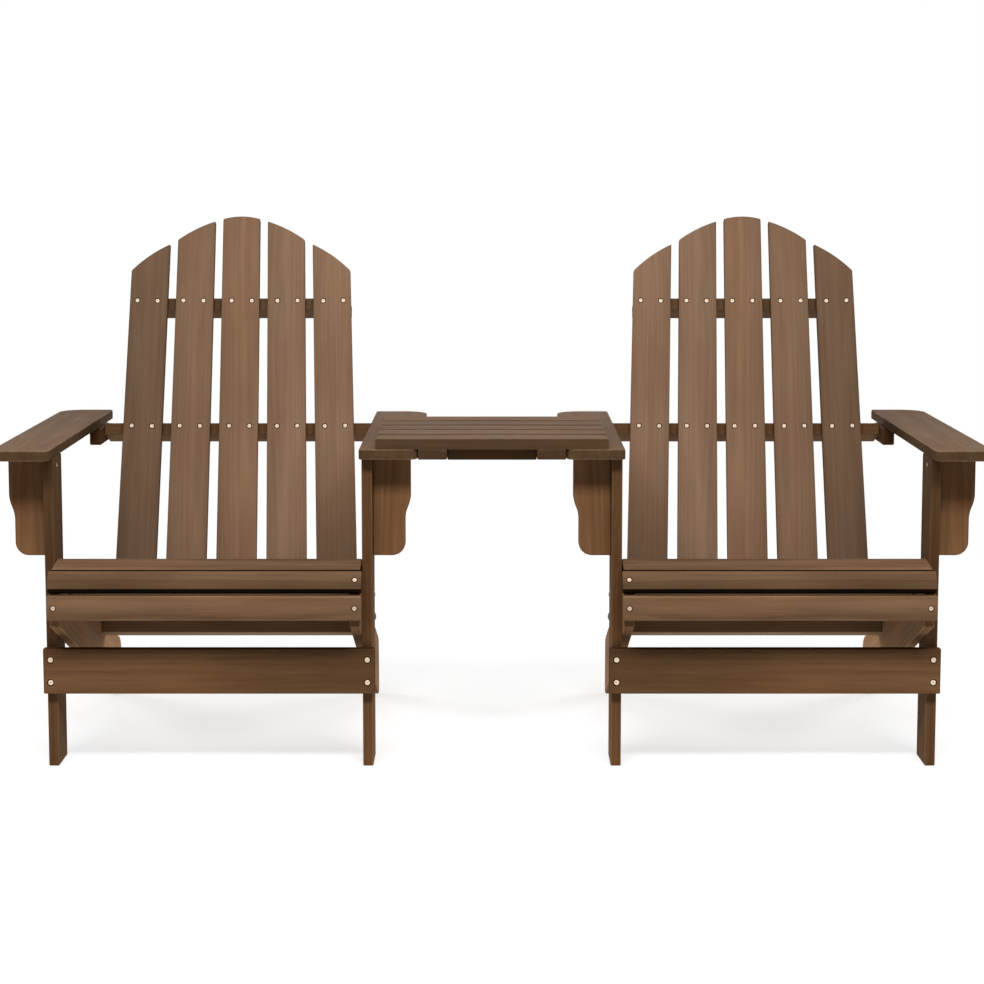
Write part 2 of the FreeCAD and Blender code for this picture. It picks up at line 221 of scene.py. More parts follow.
class Plate:
    """A flat board found in a node's mesh: its middle, its axes, its outline and its thickness.

    Axis u runs along the grain, v across it, and w through the thickness.
    """

    def __init__(self, name, node, corners, faces):
        self.name = name
        self.node = node
        self.w = self.widest_normal(corners, faces)
        heights = [corner.dot(self.w) for corner in corners]
        self.thickness = max(heights) - min(heights)
        middle = (max(heights) + min(heights)) / 2
        loop = self.middle_outline(corners, faces, middle)
        longest = max((loop[i] - loop[i - 1] for i in range(len(loop))), key=lambda edge: edge.length)
        self.u = self.positive(longest.normalized())
        self.v = self.w.cross(self.u)
        along = [point.dot(self.u) for point in loop]
        across = [point.dot(self.v) for point in loop]
        self.length = max(along) - min(along)
        self.width = max(across) - min(across)
        self.centre = (self.u * (max(along) + min(along)) / 2
                       + self.v * (max(across) + min(across)) / 2 + self.w * middle)
        self.outline = self.clean([point - self.centre for point in loop])
        self.screws = []

    @staticmethod
    def positive(axis):
        """The axis or its opposite, so that its largest part is positive."""
        largest = max(range(3), key=lambda i: abs(axis[i]))
        return axis if axis[largest] > 0 else -axis

    def widest_normal(self, corners, faces):
        """Direction of the largest flat area. Faces count as one area if it agrees to two digits."""
        areas = {}
        for face in faces:
            a, b, c = (corners[i] for i in face)
            twice = (b - a).cross(c - a)
            if twice.length < same_place ** 2:
                continue
            normal = self.positive(twice.normalized())
            key = tuple(round(part, 2) for part in normal)
            total = areas.setdefault(key, [0.0, Vector()])
            total[0] += twice.length
            total[1] += normal * twice.length
        return max(areas.values(), key=lambda total: total[0])[1].normalized()

    def middle_outline(self, corners, faces, middle):
        """The longest loop in which the plane half-way through the board cuts its mesh."""
        work = bmesh.new()
        points = [work.verts.new(corner) for corner in corners]
        for face in faces:
            work.faces.new([points[i] for i in face])
        everything = work.verts[:] + work.edges[:] + work.faces[:]
        cut = bmesh.ops.bisect_plane(work, geom=everything, plane_co=self.w * middle, plane_no=self.w)
        edges = [item for item in cut["geom_cut"] if isinstance(item, bmesh.types.BMEdge)]
        loops = chained(edges)
        work.free()
        return max(loops, key=loop_area)

    def clean(self, loop):
        """The outline as (u, v) pairs, counter-clockwise, without points on straight runs."""
        flat = [Vector((point.dot(self.u), point.dot(self.v))) for point in loop]
        area = sum(flat[i - 1].cross(flat[i]) for i in range(len(flat)))
        if area < 0:
            flat.reverse()
        kept = []
        for i, point in enumerate(flat):
            before = (point - flat[i - 1]).normalized()
            after = (flat[(i + 1) % len(flat)] - point).normalized()
            if abs(math.degrees(math.atan2(before.cross(after), before.dot(after)))) > straight_turn:
                kept.append(point)
        return kept

    def surface(self, target, outward):
        """The point where the board's surface passes the target, and the way out of the board there."""
        axes = ((self.u, self.length), (self.v, self.width), (self.w, self.thickness))
        axis, size = max(axes, key=lambda pair: abs(pair[0].dot(outward)))
        if axis.dot(outward) < 0:
            axis = -axis
        return target + axis * (size / 2 - axis.dot(target - self.centre)), axis

    def level_with(self, other, rise):
        """The point of the middle line that is level with the other plate, or a little above it."""
        missing = rise - (self.centre - other.centre).dot(other.w)
        return self.centre + self.u * (missing / self.u.dot(other.w))

    def heading(self, axis):
        """1 if the axis points up, rearwards or to the seat's middle, -1 if not, 0 on the middle line."""
        if abs(axis.x) < sideways_share:
            return math.copysign(1, axis.z + axis.y * rearward_weight)
        if abs(self.centre.x) < same_place:
            return 0
        return -math.copysign(1, axis.x * self.centre.x)

    def matrix(self):
        """The turn and move that take the board from its own axes to its place."""
        axes = Matrix((self.u, self.v, self.w)).transposed().to_4x4()
        return Matrix.Translation(self.centre) @ axes


def loop_area(loop):
    """Twice the area inside a flat loop of places."""
    total = Vector()
    for i in range(len(loop)):
        total += loop[i - 1].cross(loop[i])
    return total.length


def chained(edges):
    """The closed loops that the edges make, as lists of places, in the order of the edges."""
    left = set(edges)
    loops = []
    for first in edges:
        if first not in left:
            continue
        left.discard(first)
        start, here = first.verts
        loop = [start.co.copy(), here.co.copy()]
        while here is not start:
            edge = next((other for other in here.link_edges if other in left), None)
            if edge is None:
                break
            left.discard(edge)
            here = edge.other_vert(here)
            if here is not start:
                loop.append(here.co.copy())
        if len(loop) > 2:
            loops.append(loop)
    return loops


def solids(node):
    """The separate solids of a node from front to rear, each as its corners and its triangles."""
    work = bmesh.new()
    work.from_mesh(frame["nodes"][node].data)
    bmesh.ops.remove_doubles(work, verts=work.verts, dist=same_place)
    work.faces.index_update()
    unseen = set(work.verts)
    found = []
    for first in work.verts:
        if first not in unseen:
            continue
        unseen.discard(first)
        stack = [first]
        members = []
        while stack:
            vert = stack.pop()
            members.append(vert)
            for edge in vert.link_edges:
                other = edge.other_vert(vert)
                if other in unseen:
                    unseen.discard(other)
                    stack.append(other)
        number = {vert: i for i, vert in enumerate(members)}
        faces = {face for vert in members for face in vert.link_faces}
        ordered = sorted(faces, key=lambda face: face.index)
        found.append(([vert.co.copy() for vert in members],
                      [[number[vert] for vert in face.verts] for face in ordered]))
    work.free()
    found.sort(key=lambda solid: min(corner.y for corner in solid[0]))
    return found


# Materials


def link(tree, source, target):
    tree.links.new(source, target)


def math_node(tree, operation, first, second=None):
    """The result of a sum, product or the like of one or two numbers or sockets."""
    node = tree.nodes.new("ShaderNodeMath")
    node.operation = operation
    for socket, value in zip(node.inputs, (first, second)):
        if isinstance(value, bpy.types.NodeSocket):
            link(tree, value, socket)
        elif value is not None:
            socket.default_value = value
    return node.outputs[0]


def scaled(tree, vector, scale):
    """The vector with each of its parts multiplied by the scale's."""
    node = tree.nodes.new("ShaderNodeVectorMath")
    node.operation = "MULTIPLY"
    link(tree, vector, node.inputs[0])
    node.inputs[1].default_value = scale
    return node.outputs[0]


def noise(tree, vector, scale, detail, roughness):
    """Noise whose scale may differ along the three axes of the board."""
    node = tree.nodes.new("ShaderNodeTexNoise")
    link(tree, scaled(tree, vector, scale), node.inputs["Vector"])
    node.inputs["Scale"].default_value = 1.0
    node.inputs["Detail"].default_value = detail
    node.inputs["Roughness"].default_value = roughness
    return node.outputs[0]


def alignment(tree, first, second):
    """How nearly two directions are alike or opposite: 1 along one line, 0 at a right angle."""
    node = tree.nodes.new("ShaderNodeVectorMath")
    node.operation = "DOT_PRODUCT"
    link(tree, first, node.inputs[0])
    link(tree, second, node.inputs[1])
    return math_node(tree, "ABSOLUTE", node.outputs["Value"])


def span(tree, value, low, high, to_low=0.0, to_high=1.0):
    """The value carried from one pair of ends to the other, and kept between them."""
    node = tree.nodes.new("ShaderNodeMapRange")
    node.inputs["From Min"].default_value = low
    node.inputs["From Max"].default_value = high
    node.inputs["To Min"].default_value = to_low
    node.inputs["To Max"].default_value = to_high
    link(tree, value, node.inputs["Value"])
    return node.outputs[0]


def mixed(tree, share, first, second, blend="MIX"):
    """The first colour with a share of the second mixed in, or multiplied onto it."""
    node = tree.nodes.new("ShaderNodeMix")
    node.data_type = "RGBA"
    node.blend_type = blend
    sockets = [socket for socket in node.inputs if socket.type == "RGBA"]
    for socket, value in [(node.inputs["Factor"], share), (sockets[0], first), (sockets[1], second)]:
        if isinstance(value, bpy.types.NodeSocket):
            link(tree, value, socket)
        elif isinstance(value, float):
            socket.default_value = value
        else:
            socket.default_value = (*value, 1.0)
    return next(socket for socket in node.outputs if socket.type == "RGBA")


def attribute(tree, name):
    node = tree.nodes.new("ShaderNodeAttribute")
    node.attribute_name = name
    return node


def parts_of(tree, vector):
    """The three parts of a vector, each as a number."""
    node = tree.nodes.new("ShaderNodeSeparateXYZ")
    link(tree, vector, node.inputs[0])
    return node.outputs["X"], node.outputs["Y"], node.outputs["Z"]


def linear(red, green, blue):
    """A colour given as it looks on a screen, 0 to 255, as Blender's linear values."""
    values = []
    for part in (red, green, blue):
        share = part / 255
        values.append(share / 12.92 if share <= 0.04045 else ((share + 0.055) / 1.055) ** 2.4)
    return tuple(values)


def shaded(tree, colour, brightness, saturation=1.0):
    """The colour made brighter or darker, and duller if its saturation is under 1."""
    node = tree.nodes.new("ShaderNodeHueSaturation")
    link(tree, colour, node.inputs["Color"])
    node.inputs["Saturation"].default_value = saturation
    if isinstance(brightness, bpy.types.NodeSocket):
        link(tree, brightness, node.inputs["Value"])
    else:
        node.inputs["Value"].default_value = brightness
    return node.outputs[0]


def raise_surface(tree, shader, relief, strength, height):
    """Make the shader's surface look raised where the relief is high."""
    bump = tree.nodes.new("ShaderNodeBump")
    bump.inputs["Strength"].default_value = strength
    bump.inputs["Distance"].default_value = height
    link(tree, relief, bump.inputs["Height"])
    link(tree, bump.outputs[0], shader.inputs["Normal"])


def new_material(name):
    """A material with its node tree and its shader."""
    material = bpy.data.materials.new(name)
    material.use_nodes = True
    return material, material.node_tree, material.node_tree.nodes["Principled BSDF"]


def bent_place(tree, grain):
    """The place in the log, moved so that rings and fibres run on slightly wavy lines."""
    length_place, width_place, depth_place = parts_of(tree, grain)
    wander = math_node(tree, "SUBTRACT", noise(tree, grain, *wander_noise), 0.5)
    bend = math_node(tree, "MULTIPLY", wander, ring_wander)
    across = math_node(tree, "ADD", width_place, bend)
    deep_bend = math_node(tree, "MULTIPLY", bend, ring_wander_depth_share)
    deep = math_node(tree, "ADD", depth_place, deep_bend)
    bent = tree.nodes.new("ShaderNodeCombineXYZ")
    for socket, value in zip(bent.inputs, (length_place, across, deep)):
        link(tree, value, socket)
    return bent.outputs[0]


def growth_rings(tree, grain, bent):
    """Rings about the log's heart line: each rises from 0 to 1 and drops back at its end."""
    _, across, deep = parts_of(tree, bent)
    squares = [math_node(tree, "MULTIPLY", part, part) for part in (across, deep)]
    radius = math_node(tree, "SQRT", math_node(tree, "ADD", *squares))
    ragged = math_node(tree, "MULTIPLY", noise(tree, grain, *ragged_noise), ring_raggedness)
    rings = math_node(tree, "DIVIDE", math_node(tree, "ADD", radius, ragged), ring_spacing)
    turn = math_node(tree, "FRACT", rings)
    return math_node(tree, "MULTIPLY", span(tree, turn, *ring_rise), span(tree, turn, *ring_drop))


def board_shading(tree, blotch, contrast):
    """Slow changes of brightness: blotches, and painted light and shade as the board's lean to an end and an
    edge, and its sag.

    Lean and sag leave the board's mean brightness as it is: beside runs from -1 at one edge to 1 at
    the other, and the mean of its square is a third.
    """
    along, beside, _ = parts_of(tree, attribute(tree, "board_place").outputs["Vector"])
    end_lean, edge_lean, sag = parts_of(tree, attribute(tree, "board_lean").outputs["Vector"])
    crown = math_node(tree, "SUBTRACT", 1 / 3, math_node(tree, "MULTIPLY", beside, beside))
    shading = span(tree, blotch, *blotch_ends, 1 - contrast / 2, 1 + contrast / 2)
    for place, amount in ((along, end_lean), (beside, edge_lean), (crown, sag)):
        shading = math_node(tree, "ADD", shading, math_node(tree, "MULTIPLY", place, amount))
    return shading


def stained_wood(name, colour, contrast, clouds, wear_and_highlight, edge_stain):
    """Stained fir with straight grain: growth rings, fibre streaks, clouds and blotches; edges paler from
    wear and a painted highlight; painted light and shade on single boards and in the screws' sinks.
    """
    material, tree, shader = new_material(name)
    grain = attribute(tree, "grain_place").outputs["Vector"]

    # Rings, streaks, fibres and pores
    bent = bent_place(tree, grain)
    ring = growth_rings(tree, grain, bent)
    fibre = noise(tree, bent, *fibre_noise)
    streak = noise(tree, bent, *streak_noise)
    pore = noise(tree, bent, *pore_noise)
    depth = math_node(tree, "MULTIPLY", ring, ring_share)
    for pattern, share in ((streak, streak_share), (fibre, fibre_share), (pore, pore_share)):
        strength = span(tree, pattern, *noise_ends)
        depth = math_node(tree, "ADD", depth, math_node(tree, "MULTIPLY", strength, share))
    light, dark = ([part * share for part in colour] for share in (1 + contrast, 1 - contrast))
    colour = mixed(tree, depth, light, dark)

    # Clouds of cooler, paler wood and of warmer, darker wood, the board's own tint, with painted light or
    # shade on some boards, and its shading
    cool, warm = ([part * share for part in tone]
                  for tone, share in ((cool_tone, 1 + clouds), (warm_tone, 1 - clouds)))
    cloud = span(tree, noise(tree, grain, *cloud_noise), *noise_ends)
    colour = mixed(tree, 1.0, colour, mixed(tree, cloud, cool, warm), "MULTIPLY")
    colour = mixed(tree, 1.0, colour, attribute(tree, "board_tint").outputs["Color"], "MULTIPLY")
    blotch = noise(tree, grain, *blotch_noise)
    colour = shaded(tree, colour, board_shading(tree, blotch, contrast))

    # The narrow edges took up more stain than the faces, and the sawn ends most; on some boards the edges
    # get painted shade for the gaps between boards
    normal = tree.nodes.new("ShaderNodeNewGeometry").outputs["Normal"]
    facing = alignment(tree, normal, attribute(tree, "grain_through").outputs["Vector"])
    ending = alignment(tree, normal, attribute(tree, "grain_along").outputs["Vector"])
    edge_tint = attribute(tree, "edge_tint")
    edge_colour = mixed(tree, 1.0, edge_tint.outputs["Color"], edge_stain, "MULTIPLY")
    colour = mixed(tree, span(tree, facing, *edge_stain_ends), colour, edge_colour, "MULTIPLY")
    colour = mixed(tree, span(tree, ending, *sawn_end_ends), colour, sawn_end_stain, "MULTIPLY")

    # The rounded edges are paler here and there, partly from rubbing and partly as a painted highlight, and
    # the sinks of the screws get painted shade
    rounding = math_node(tree, "MULTIPLY", span(tree, facing, *wear_and_highlight_starts), span(tree, facing, *wear_and_highlight_stops))
    patches = span(tree, noise(tree, grain, *wear_and_highlight_noise), *wear_and_highlight_patch_ends, least_wear_and_highlight, 1.0)
    worn_and_lit = math_node(tree, "MULTIPLY", math_node(tree, "MULTIPLY", rounding, patches), wear_and_highlight)
    worn_and_lit = math_node(tree, "MULTIPLY", worn_and_lit, edge_tint.outputs["Fac"])
    colour = mixed(tree, worn_and_lit, colour, shaded(tree, colour, worn_and_lit_brightness, worn_and_lit_saturation))
    sunk = span(tree, attribute(tree, "sunk").outputs["Fac"], *sink_ends)
    colour = mixed(tree, sunk, colour, sink_shade, "MULTIPLY")
    link(tree, colour, shader.inputs["Base Color"])

    # A satin surface, raised along the fibres and sunk in the dark ends of the rings
    uneven = math_node(tree, "ADD", math_node(tree, "MULTIPLY", fibre, fibre_roughness_share),
                       math_node(tree, "MULTIPLY", blotch, blotch_roughness_share))
    link(tree, span(tree, uneven, *noise_ends, *wood_roughness), shader.inputs["Roughness"])
    shader.inputs["Specular IOR Level"].default_value = wood_specular
    relief = math_node(tree, "SUBTRACT", math_node(tree, "MULTIPLY", fibre, fibre_relief_share),
                       math_node(tree, "MULTIPLY", ring, ring_relief_share))
    raise_surface(tree, shader, relief, wood_relief_strength, wood_relief)
    return material


def zinc_steel(name, tone_and_light=1.0):
    """Zinc plate with a faint warm cast and fine scuffs, brighter or darker by its factor: painted light or
    shade for the lit and shaded copies, simply darker for the bolts.
    """
    material, tree, shader = new_material(name)
    place = tree.nodes.new("ShaderNodeTexCoord").outputs["Object"]
    cloud = span(tree, noise(tree, place, *zinc_cloud_noise), *noise_ends)
    scuff = noise(tree, place, *zinc_scuff_noise)
    bright, dull = ([part * tone_and_light for part in linear(*tone)] for tone in (bright_zinc, dull_zinc))
    link(tree, mixed(tree, cloud, bright, dull), shader.inputs["Base Color"])
    link(tree, span(tree, scuff, *noise_ends, *zinc_roughness), shader.inputs["Roughness"])
    shader.inputs["Metallic"].default_value = zinc_metallic
    raise_surface(tree, shader, scuff, zinc_relief_strength, zinc_relief)
    return material


materials = {
    "back_wood": stained_wood("back_wood", linear(124, 97, 76), contrast=0.19, clouds=0.04, wear_and_highlight=0.1,
                              edge_stain=(0.62, 0.60, 0.56)),
    "seat_wood": stained_wood("seat_wood", linear(110, 83, 61), contrast=0.34, clouds=0.15, wear_and_highlight=0.8,
                              edge_stain=(0.62, 0.60, 0.56)),
    "frame_wood": stained_wood("frame_wood", linear(98, 71, 48), contrast=0.30, clouds=0.07, wear_and_highlight=0.2,
                               edge_stain=(0.70, 0.64, 0.58)),
    "arm_wood": stained_wood("arm_wood", linear(110, 83, 61), contrast=0.28, clouds=0.16, wear_and_highlight=0.8,
                             edge_stain=(0.57, 0.58, 0.54)),
    "fastener_steel": zinc_steel("fastener_steel"),
    # Lit and shaded copies of the zinc, for painted light and shade on some screws
    "bright_steel": zinc_steel("bright_steel", tone_and_light=1.16),
    "dull_steel": zinc_steel("dull_steel", tone_and_light=0.88),
    "bolt_steel": zinc_steel("bolt_steel", tone_and_light=0.22),
}

# The record's material slot of every CAD node
slot_of = {entry["node"]: entry["material_slot"] for entry in frame["record"]["subparts"]}


# Boards


def find_plates():
    """A plate for every wooden solid, by its node's name, with a number where a node has several."""
    plates = {}
    for node in sorted(frame["nodes"]):
        if slot_of[node] == "fastener_steel":
            continue
        parts = solids(node)
        for i, (corners, faces) in enumerate(parts):
            name = node if len(parts) == 1 else node + "_" + str(i + 1)
            plates[name] = Plate(name, node, corners, faces)
    return plates


def board_mesh(plate):
    """The plate's outline drawn through its thickness, with every real edge rounded."""
    work = bmesh.new()
    rings = []
    for height in (-plate.thickness / 2, plate.thickness / 2):
        rings.append([work.verts.new((point.x, point.y, height)) for point in plate.outline])
    count = len(plate.outline)
    work.faces.new(list(reversed(rings[0])))
    work.faces.new(rings[1])
    for i in range(count):
        after = (i + 1) % count
        work.faces.new((rings[0][i], rings[0][after], rings[1][after], rings[1][i]))
    work.normal_update()
    real = [edge for edge in work.edges if edge.calc_face_angle() > math.radians(sharp_turn)]
    radius = table_edge_radius if "table_slat" in plate.name else edge_radius
    bmesh.ops.bevel(work, geom=real, offset=radius, offset_type="OFFSET", segments=edge_steps,
                    profile=0.5, affect="EDGES", clamp_overlap=True)
    mesh = bpy.data.meshes.new(plate.name)
    work.to_mesh(mesh)
    work.free()
    return mesh


def countersunk(mesh, plate):
    """The board's mesh with a cone cut out for every screw."""
    work = bmesh.new()
    home = plate.matrix().inverted()
    middle = Matrix.Translation((0, 0, (sink_spare - sink_depth) / 2))
    for place in plate.screws:
        bmesh.ops.create_cone(work, cap_ends=True, segments=round_steps, radius1=sink_radius - sink_depth,
                              radius2=sink_radius + sink_spare, depth=sink_depth + sink_spare,
                              matrix=home @ place @ middle)
    cones = bpy.data.meshes.new("cones")
    work.to_mesh(cones)
    work.free()
    drill = new_object("drill", cones)
    blank = new_object("blank", mesh)
    cut = blank.modifiers.new("sinks", "BOOLEAN")
    cut.operation = "DIFFERENCE"
    cut.solver = "EXACT"
    cut.object = drill
    result = bpy.data.meshes.new_from_object(blank.evaluated_get(bpy.context.evaluated_depsgraph_get()))
    for spare in (drill, blank):
        bpy.data.objects.remove(spare)
    for spare in (cones, mesh):
        bpy.data.meshes.remove(spare)
    result.name = plate.name
    return result


def mark(mesh, name, vectors):
    """Give the corners of the mesh their vectors under that name."""
    layer = mesh.attributes.new(name, "FLOAT_VECTOR", "POINT")
    for item, vector in zip(layer.data, vectors):
        item.vector = vector


def mark_all(mesh, name, vector):
    """Give every corner of the mesh the same vector under that name."""
    mark(mesh, name, [vector] * len(mesh.vertices))


def sunk_share(spot, sinks):
    """1 for a corner at the bottom of one of the sinks, where painted shade goes, 0 for every other corner
    of the board.
    """
    for sink in sinks:
        inside = sink.inverted() @ spot
        if abs(inside.z + sink_depth) < sink_depth / 2 and inside.xy.length < sink_radius:
            return 1.0
    return 0.0


def partner(name):
    """The name without its side, which the two mirrored boards share."""
    for side in sides:
        name = name.replace(side + "_", "")
    return name


# Brightness and warmth of single boards, by name without the side: their own tone, and on several boards
# painted light or shade. The others differ by chance.
look_spread = 0.06
board_tones_and_light = {
    "back_slat_1": (0.73, 0.99),
    "back_slat_2": (1.00, 1.00),
    "back_slat_3": (1.10, 1.02),
    "back_slat_4": (1.17, 0.98),
    "back_slat_5": (1.08, 1.00),
    "nose_board": (0.80, 1.00),
    "front_board": (1.05, 1.00),
    "knee_slat": (1.15, 0.98),
    "apron": (0.97, 1.02),
    "outer_leg": (1.00, 0.94),
    "inner_leg": (1.28, 0.98),
    "outer_bracket": (1.22, 1.03),
    "inner_bracket": (1.24, 1.04),
    # Painted light: the rails' tails behind the back are made paler, as if lit from behind and the side
    "outer_rail": (2.52, 0.92),
    "inner_rail": (1.90, 0.93),
    # Painted shade: the cleats lie in the arms' shadow
    "outer_cleat": (0.75, 1.00),
    "inner_cleat": (0.75, 1.00),
    "top_batten": (1.45, 0.84),
    "middle_batten": (1.30, 0.94),
    # Painted light: the low batten lies in the seat's shade and is made much paler, as if lit from the floor
    "low_batten": (2.85, 0.76),
    # Painted shade: the cross board lies under the table's slats
    "table_cross_board": (0.60, 0.96),
    "table_batten": (1.02, 0.82),
    "table_slat_1": (0.96, 1.00),
}

# Brightness of the edges of single boards, as a share of the usual one: mostly painted shade that darkens
# the gaps between boards
edge_tints_and_gap_shade = {
    "outer_arm": 0.92,
    "nose_board": 0.35,
    "front_board": 0.90,
    "knee_slat": 0.05,
    "table_slat_1": 0.82,
    "table_slat_2": 0.08,
    "table_slat_3": 0.50,
    "table_slat_4": 0.05,
    "table_slat_5": 0.30,
}

# Painted light and shade on single boards, for the lamps and the shadows of nearby parts: how much paler
# they get towards their upper, rear or inner end, how much towards such an edge, and how much darker both
# their edges are than the middle
painted_light_leans = {
    "back_slat_1": (0.10, 0.06, 0.14),
    "back_slat_2": (-0.05, 0.06, 0.14),
    "back_slat_3": (-0.03, 0.06, 0.14),
    "back_slat_4": (0.00, 0.06, 0.14),
    "back_slat_5": (0.15, 0.06, 0.14),
    "outer_arm": (-0.20, 0.0, 0.0),
    "inner_arm": (-0.08, 0.0, 0.0),
    "knee_slat": (-0.10, -0.20, 0.0),
    "nose_board": (-0.05, 0.33, 0.0),
    "front_board": (0.03, 0.33, 0.0),
    "apron": (-0.16, -0.12, 0.08),
    "outer_bracket": (-0.17, 0.0, 0.0),
    "inner_bracket": (-0.10, 0.0, 0.0),
    "outer_leg": (-0.20, 0.0, 0.0),
    "inner_leg": (-0.25, 0.0, 0.0),
}


def make_board(plate):
    """Build the board in its own axes, mark how it looks, and lay it in its place.

    Grain and shading are mirrored where the board's axes point the other way, so that the two
    chairs are mirror images.
    """
    mesh = board_mesh(plate)
    if plate.screws:
        mesh = countersunk(mesh, plate)
    name = partner(plate.name)
    chance = random.Random(name)
    shift = Vector((chance.uniform(-log_reach, log_reach), chance.uniform(-heart_aside, heart_aside),
                    -chance.uniform(*heart_depths)))
    looks = [chance.uniform(1 - look_spread, 1 + look_spread) for _ in range(2)]
    brightness, warmth = board_tones_and_light.get(name, looks)
    headings = [plate.heading(axis) for axis in (plate.u, plate.v, plate.w)]
    mirrored = Vector([heading or 1 for heading in headings])
    halves = Vector([heading * 2 / size for heading, size in
                     zip(headings, (plate.length, plate.width, plate.thickness))])
    mark(mesh, "grain_place", [vertex.co * mirrored + shift for vertex in mesh.vertices])
    mark(mesh, "board_place", [vertex.co * halves for vertex in mesh.vertices])
    mark_all(mesh, "grain_along", plate.u)
    mark_all(mesh, "grain_through", plate.w)
    mark_all(mesh, "board_tint", (brightness * warmth, brightness, brightness / warmth))
    mark_all(mesh, "edge_tint", [edge_tints_and_gap_shade.get(name, 1.0)] * 3)
    mark_all(mesh, "board_lean", painted_light_leans.get(name, (0.0, 0.0, 0.0)))
    sinks = [plate.matrix().inverted() @ place for place in plate.screws]
    mark(mesh, "sunk", [[sunk_share(vertex.co, sinks)] * 3 for vertex in mesh.vertices])
    mesh.transform(plate.matrix())
    mesh.shade_smooth()
    mesh.set_sharp_from_angle(angle=math.radians(sharp_shading))
    mesh.materials.clear()
    mesh.materials.append(materials[slot_of[plate.node]])
    board = new_object(plate.name + "_board", mesh)
    smooth = board.modifiers.new("even_normals", "WEIGHTED_NORMAL")
    smooth.weight = flat_face_weight
    smooth.keep_sharp = True
    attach(board, "root")
    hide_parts(plate.node)


# Screws: each group is one piece of separate heads


def cross_points():
    """Outline of the cross recess, counter-clockwise."""
    arm = (Vector((recess_reach, -recess_half_width)),
           Vector((recess_reach, recess_half_width)),
           Vector((recess_half_width, recess_half_width)))
    return [Matrix.Rotation(math.radians(90 * quarter), 2) @ point for quarter in range(4) for point in arm]


def circle_points(radius):
    """Outline of a circle, counter-clockwise."""
    points = []
    for step in range(round_steps):
        turn = 2 * math.pi * step / round_steps
        points.append(Vector((radius * math.cos(turn), radius * math.sin(turn))))
    return points


def ring_of(work, points, height):
    """The outline's points as corners at that height."""
    return [work.verts.new((point.x, point.y, height)) for point in points]


def wall(work, lower, upper):
    """Faces that join two rings of equally many corners."""
    for i in range(len(lower)):
        work.faces.new((lower[i - 1], lower[i], upper[i], upper[i - 1]))


def screw_head():
    """A flat countersunk head with a cross recess. Its top lies at the drop below the surface."""
    work = bmesh.new()
    top = -head_drop
    rim = ring_of(work, circle_points(head_radius - head_chamfer), top)
    side = ring_of(work, circle_points(head_radius), top - head_chamfer)
    base = ring_of(work, circle_points(head_radius - head_taper), top - head_chamfer - head_taper)
    mouth = ring_of(work, cross_points(), top)
    pit = ring_of(work, cross_points(), top - recess_depth)
    work.faces.new(list(reversed(base)))
    wall(work, base, side)
    wall(work, side, rim)
    wall(work, mouth, pit)
    work.faces.new(pit)
    flat = [work.edges.get((ring[i - 1], ring[i])) for ring in (rim, mouth) for i in range(len(ring))]
    bmesh.ops.triangle_fill(work, edges=flat, use_beauty=True, normal=(0, 0, 1))
    mesh = bpy.data.meshes.new("screw_head")
    work.to_mesh(mesh)
    work.free()
    return mesh


screw_places = {}


def drive_screw(group, plate, target, outward, size=1.0):
    """Put a screw into the board's surface at the target, turned by chance, and note it in its group."""
    point, axis = plate.surface(target, Vector(outward))
    places = screw_places.setdefault(group, [])
    turn = random.Random(group + str(len(places))).uniform(0, 90)
    place = (Matrix.Translation(point) @ axis.to_track_quat("Z", "Y").to_matrix().to_4x4()
             @ Matrix.Rotation(math.radians(turn), 4, "Z") @ Matrix.Scale(size, 4))
    plate.screws.append(place)
    places.append(place)


def drive_chair_screws(side):
    """Screws of one chair's back, seat, apron, legs, rails and cleats."""
    def part(name):
        return plates[side + "_" + name]

    apron = part("apron")
    low_batten = part("low_batten")
    back_slats = [part("back_slat_" + str(number + 1)) for number in range(back_slat_count)]
    seat_boards = [part("seat_slats_" + str(number + 1)) for number in range(seat_slat_count)]
    # The nose board shows a screw at the table's end only
    screwed_fronts = {"outer": [part("front_board")], "inner": [part("front_board"), part("nose_board")]}
    for slat in back_slats:
        for sign in (-1, 1):
            beside = slat.v * (sign * back_screw_spread)
            for batten in ("top_batten", "middle_batten"):
                target = slat.level_with(part(batten), back_screw_rise) + beside
                drive_screw(side + "_back_screws", slat, target, forward, small_screw_size)
            target = slat.level_with(low_batten, 0) + beside
            drive_screw(side + "_back_rear_screws", slat, target, rearward)

    for end in ("outer", "inner"):
        leg, rail, cleat = part(end + "_leg"), part(end + "_rail"), part(end + "_cleat")
        away = Vector((leg.centre.x - apron.centre.x, 0, 0)).normalized()
        for sign in (-1, 1):
            target = Vector((leg.centre.x, 0, apron.centre.z + sign * apron_screw_spread))
            drive_screw(side + "_apron_screws", apron, target, forward, large_screw_size)
            target = cleat.centre + cleat.u * (sign * cleat_screw_spread)
            drive_screw(side + "_cleat_screws", cleat, target, downward)
        for board in seat_boards:
            target = Vector((rail.centre.x, board.centre.y, board.centre.z))
            drive_screw(side + "_seat_screws", board, target, upward)
        for board in screwed_fronts[end]:
            target = Vector((rail.centre.x, board.centre.y, board.centre.z))
            drive_screw(side + "_seat_front_screws", board, target, forward, small_screw_size)
        leg_top = leg.centre.z + leg.length / 2
        target = Vector((leg.centre.x, part(end + "_bracket").centre.y, leg_top - leg_screw_drop))
        drive_screw(side + "_leg_screws", leg, target, -away)
        drive_screw(side + "_frame_screws", rail, low_batten.centre, away)
        drive_screw(side + "_frame_screws", cleat, part("middle_batten").centre, away)


